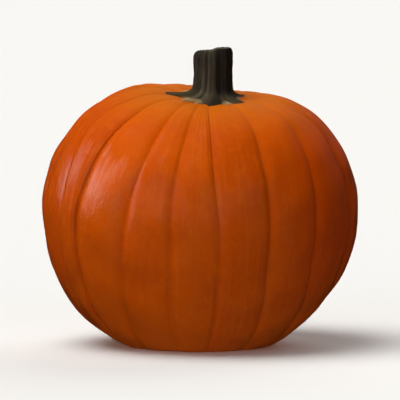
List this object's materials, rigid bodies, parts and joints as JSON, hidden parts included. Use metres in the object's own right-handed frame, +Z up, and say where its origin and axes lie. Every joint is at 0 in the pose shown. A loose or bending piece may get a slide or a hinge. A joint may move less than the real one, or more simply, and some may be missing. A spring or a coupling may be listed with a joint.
{
  "type": "pumpkin",
  "caption": "Ripe ribbed pumpkin with a cut, dried stem, resting on a small flat spot.",
  "frame": {"origin": "under the middle of the fruit's outline seen from above, on the surface that it rests on", "axes": "+Z up; -Y towards the side seen in the picture; +X to the right of that view, along the fruit's greatest width"},
  "size_m": [0.2796, 0.267, 0.264],
  "materials": {
    "rind": "satin",
    "dried_stem": "matte"
  },
  "bodies": {
    "root": {"fruit": "rind", "stem": "dried_stem"}
  },
  "joints": []
}
